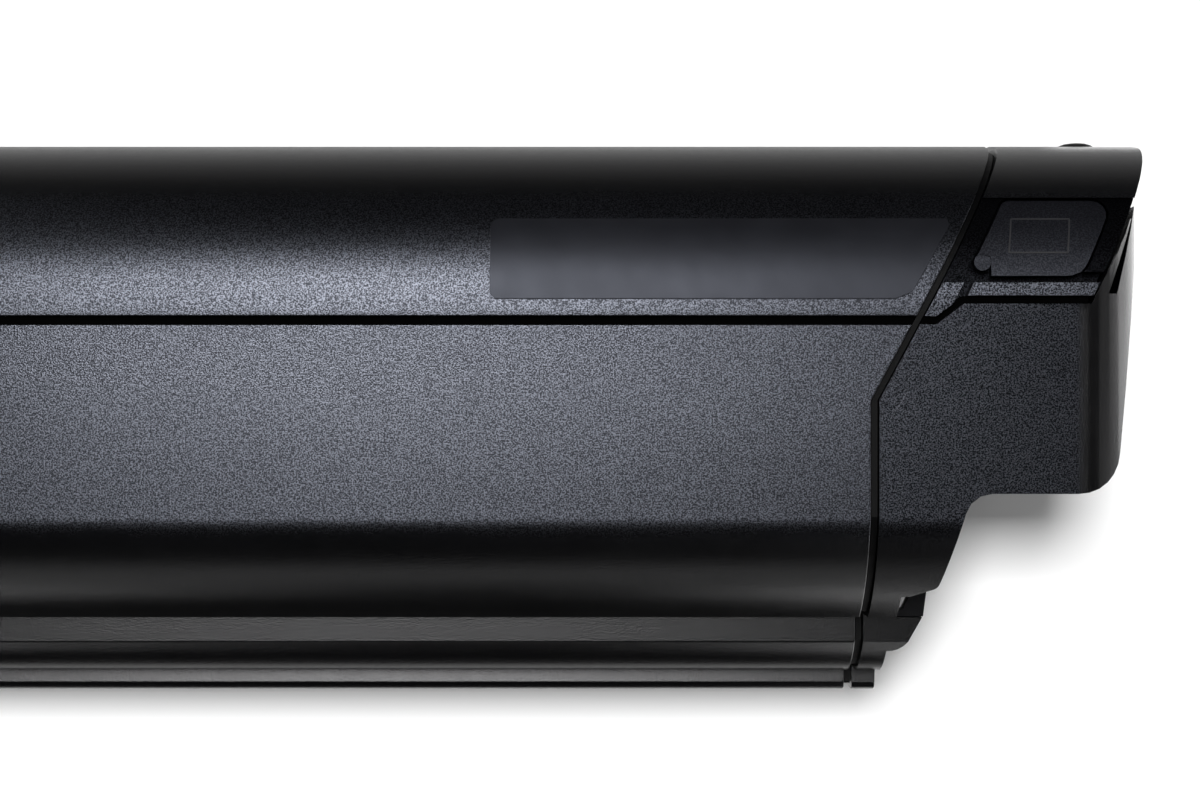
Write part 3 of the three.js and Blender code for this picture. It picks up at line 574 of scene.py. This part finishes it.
def flap_frame():
    """A thin raised four-sided line on the face of the flap."""
    corners = ((FRAME_LEFT, FRAME_BOTTOM), (FRAME_RIGHT, FRAME_BOTTOM),
               (FRAME_RIGHT, FRAME_TOP), (FRAME_LEFT, FRAME_TOP))
    solid = bmesh.new()
    for i, corner in enumerate(corners):
        bead(solid, corner, corners[(i + 1) % len(corners)])
    bmesh.ops.recalc_face_normals(solid, faces=solid.faces)
    as_piece(solid, "flap_frame_line", "flap", "flap_line")


# ---------------------------------------------------------------- the pieces

softened("top_cover", "pack", "shell", radius=0.2 * MM)
softened("lower_housing", "pack", "shell", radius=0.2 * MM)
softened("head_cap", "pack", "cap", radius=0.3 * MM)
softened("head_hood", "pack", "hood", radius=0.3 * MM)
softened("tail_cap", "pack", "cap", radius=0.3 * MM)
softened("charge_flap", "flap", "flap", radius=0.22 * MM)
softened("power_button", "button", "button", radius=0.15 * MM, sharp=25)
softened("rating_label", "pack", "film", radius=0.06 * MM)
softened("lock_keeper", "pack", "dark_steel", radius=0.2 * MM)
softened("discharge_connector", "pack", "inner", radius=0.25 * MM)
flap_frame()
for i in range(1, 5):
    socket_screw(f"head_screw_{i}", inward=-1)
    socket_screw(f"tail_screw_{i}", inward=1)
    softened(f"contact_blade_{i}", "pack", "brass", radius=0.15 * MM)

KEPT = {
    "seal": ["joint_seal_left", "joint_seal_right", "hood_seal_left", "hood_seal_right"],
    "gasket": ["head_gasket", "tail_gasket"],
    "inner": ["charge_socket", "button_switch", "cell_frame_left", "cell_frame_right", "bms_plug",
              "main_fuse"],
    "steel": ["charge_socket_nut"],
    "brass": ["charge_pin"],
    "nickel": [f"cell_group_{i:02d}" for i in range(1, 11)],
    "aluminium": ["bms_heatsink"],
    "board": ["bms_board", "switch_board"],
    "paper": ["insulator_top", "insulator_bottom"],
    "foam": ["foam_pad_tail", "foam_pad_head"],
    "red": ["lead_positive"],
    "black": ["lead_negative", "charge_lead"],
}
for look, nodes in KEPT.items():
    for node in nodes:
        mesh = frame["nodes"][node].data
        mesh.materials.clear()
        mesh.materials.append(LOOKS[look])


# ---------------------------------------------------------------- the camera's place

# The camera looks straight down on the flap side, centred a little tailward of the head cap.
CAMERA_X = HEAD_X - 79.6 * MM
CAMERA_Y = 45.8 * MM
CAMERA_RISE = 280 * MM  # above the near side of the pack
FOCAL_SHARE = 1.61  # focal length over picture width
SENSOR_WIDTH = 36.0
NEAREST_SEEN = 0.01


# ---------------------------------------------------------------- table and backdrop

TABLE_HALF = 3.0
PAPER_TONES = ((0.84, 0.84, 0.84), (0.86, 0.86, 0.86))
PAPER_CLOUD = 0.4
SWEEP = (0.5, 1.4)  # the table fades into the backdrop between these distances in metres

EYE_BACKGROUND = 0.93
GLOSS_BACKGROUND = 0.02
AMBIENT = 0.3

# Brightness of the table in the gloss of the pack, by distance in mm from the pack.
GLOSS_BEYOND_CROWN = ((0, 0.02), (4, 0.5), (50, 0.42), (111, 0.24), (300, 0.09), (400, 0.05))
GLOSS_BEYOND_RAIL = ((0, 0.02), (3, 0.8), (40, 0.5), (62, 0.02), (400, 0.02))
GLOSS_BEYOND_ENDS = ((0, 0.02), (4, 1.6), (60, 2.4), (200, 2.9), (700, 3.2), (2000, 3.2))
ENDS_FADE = (10 * MM, 40 * MM)  # the glow beyond the ends stops this far beyond the crown


def table_gloss(look):
    """How bright the table shows in the gloss of the pack."""
    beyond_crown = look.math("SUBTRACT", look.y, CROWN_Y)
    beyond_rail = look.math("SUBTRACT", 0.0, look.y)
    beyond_end = look.math("SUBTRACT", look.math("ABSOLUTE", look.x), HEAD_X)
    in_line = look.remap(beyond_crown, *ENDS_FADE, 1.0, 0.0)
    ends = look.math("MULTIPLY", look.fade(beyond_end, GLOSS_BEYOND_ENDS), in_line)
    sides = look.math("MAXIMUM", look.fade(beyond_crown, GLOSS_BEYOND_CROWN),
                      look.fade(beyond_rail, GLOSS_BEYOND_RAIL))
    return look.math("MAXIMUM", sides, ends)


def paper_white():
    """White paper that glows in the gloss of the pack and fades into the backdrop far out."""
    look = Look("paper_white")
    look.set(Roughness=0.9, Specular_IOR_Level=0.1)
    look.finish(look.mix(look.noise(PAPER_CLOUD, 2.0), *PAPER_TONES))
    ray = look.node("ShaderNodeLightPath").outputs
    near = look.blend(ray["Is Glossy Ray"], look.shader.outputs["BSDF"],
                      look.glow(table_gloss(look)))
    farness = look.remap(look.vector_math("LENGTH", "Value", look.place), *SWEEP, 0.0, 1.0)
    faded = look.math("MULTIPLY", farness, ray["Is Camera Ray"])
    surface = look.blend(faded, near, look.glow(EYE_BACKGROUND))
    look.feed(surface, look.tree.nodes["Material Output"].inputs["Surface"])
    return look.material


def floor():
    """A pale table that the pack lies on."""
    corners = ((-1, -1), (1, -1), (1, 1), (-1, 1))
    mesh = bpy.data.meshes.new("floor")
    mesh.from_pydata([(x * TABLE_HALF, y * TABLE_HALF, FLOOR_Z) for x, y in corners],
                     [], [(0, 1, 2, 3)])
    mesh.materials.append(paper_white())
    plane = bpy.data.objects.new("floor", mesh)
    bpy.context.scene.collection.objects.link(plane)


def world():
    """White to the eye, dim to the table, and nearly black in the gloss of the pack."""
    studio = bpy.data.worlds.new("studio")
    bpy.context.scene.world = studio
    studio.use_nodes = True
    tree = studio.node_tree
    path = tree.nodes.new("ShaderNodeLightPath")
    level = AMBIENT
    for ray, seen in (("Is Glossy Ray", GLOSS_BACKGROUND), ("Is Camera Ray", EYE_BACKGROUND)):
        tone = tree.nodes.new("ShaderNodeMix")
        feed(tree, level, tone.inputs["A"])
        feed(tree, seen, tone.inputs["B"])
        feed(tree, path.outputs[ray], tone.inputs["Factor"])
        level = tone.outputs["Result"]
    background = tree.nodes["Background"]
    feed(tree, level, background.inputs["Strength"])
    feed(tree, (1, 1, 1, 1), background.inputs["Color"])


# ---------------------------------------------------------------- lights

# The bright ceiling: each row and each column as its two angles in degrees from straight up.
CEILING_RISE = 1.4
CEILING_ROWS = (((-7.9, 8), 4.05), ((8, 20), 8.8), ((20, 34), 8.2))  # with its radiance
CEILING_COLUMNS = (((-21, -1), 0.98), ((-1, 6.0), 0.86))  # with its share of the row's radiance

LAMP_SIDEWAYS, LAMP_ALONG = (-12, -2), (5, 14)
LAMP_RADIANCE = 145.0

RAIL_CARD = {"width": 1.8, "height": 0.17, "radiance": 0.78}
RAIL_CARD_AWAY = 1.0
RAIL_CARD_RISE = 0.3
RAIL_CARD_DIP = 0.15  # it faces down by this much over one metre

# The cards beyond the head end: from and to this high, and how bright.
HEAD_CARDS = ((0.0, 0.32, 3.2), (0.32, 0.75, 0.9), (0.75, 1.6, 0.3))
HEAD_CARD_WIDTH = 1.6
HEAD_CARD_AWAY = 1.2

SIDE_BOX = {"width": 1.3, "height": 1.5, "radiance": 0.45}
SIDE_BOX_AWAY = 1.1


def area_light(name, place, width, height, radiance):
    """A rectangular light that the camera doesn't see, facing down."""
    light = bpy.data.lights.new(name, "AREA")
    light.shape = "RECTANGLE"
    light.size = width
    light.size_y = height
    light.energy = radiance * math.pi * width * height
    lamp = bpy.data.objects.new(name, light)
    lamp.location = place
    lamp.visible_camera = False
    bpy.context.scene.collection.objects.link(lamp)
    return lamp


def ceiling_panel(name, sideways, along, radiance):
    """A light lying flat above the pack, between two angles each way from straight up."""
    left, right = (CEILING_RISE * math.tan(math.radians(angle)) for angle in sideways)
    low, high = (CEILING_RISE * math.tan(math.radians(angle)) for angle in along)
    place = (CAMERA_X + (left + right) / 2, CAMERA_Y + (low + high) / 2, HALF_WIDTH + CEILING_RISE)
    return area_light(name, place, right - left, high - low, radiance)


def gloss_card(name, place, facing, width, height, radiance):
    """A card that stands beside the pack and shows only in its gloss."""
    card = area_light(name, place, width, height, radiance)
    card.rotation_euler = Vector(facing).to_track_quat("-Z", "Y").to_euler()
    card.visible_diffuse = False


def gloss_lights():
    """All that the gloss of the pack shows beside the table. It lights nothing else."""
    for i, (along, radiance) in enumerate(CEILING_ROWS):
        for j, (sideways, share) in enumerate(CEILING_COLUMNS):
            panel = ceiling_panel(f"ceiling_{i}_{j}", sideways, along, radiance * share)
            panel.visible_diffuse = False
    rail_side = (CAMERA_X, CAMERA_Y - RAIL_CARD_AWAY, FLOOR_Z + RAIL_CARD_RISE)
    gloss_card("rail_side_card", rail_side, (0, 1, -RAIL_CARD_DIP), **RAIL_CARD)
    for i, (low, high, radiance) in enumerate(HEAD_CARDS):
        head_side = (HEAD_X + HEAD_CARD_AWAY, CAMERA_Y, (low + high) / 2)
        gloss_card(f"head_side_card_{i}", head_side, (-1, 0, 0), HEAD_CARD_WIDTH, high - low,
                   radiance)
    for name, side in (("tail_side_box", -1), ("head_side_box", 1)):
        corner = (side * SIDE_BOX_AWAY, -side * SIDE_BOX_AWAY, SIDE_BOX["height"] / 2)
        gloss_card(name, corner, (-side, side, 0), **SIDE_BOX)


def lamp():
    """Lights the table, on top of the ambient light, and throws the soft shadow."""
    light = ceiling_panel("lamp", LAMP_SIDEWAYS, LAMP_ALONG, LAMP_RADIANCE)
    light.visible_glossy = False


floor()
gloss_lights()
lamp()
world()

camera_data = bpy.data.cameras.new("camera")
camera_data.sensor_width = SENSOR_WIDTH
camera_data.lens = SENSOR_WIDTH * FOCAL_SHARE
camera_data.clip_start = NEAREST_SEEN
camera = bpy.data.objects.new("camera", camera_data)
camera.location = (CAMERA_X, CAMERA_Y, HALF_WIDTH + CAMERA_RISE)
bpy.context.scene.collection.objects.link(camera)
bpy.context.scene.camera = camera
bpy.context.scene.view_settings.view_transform = "Standard"
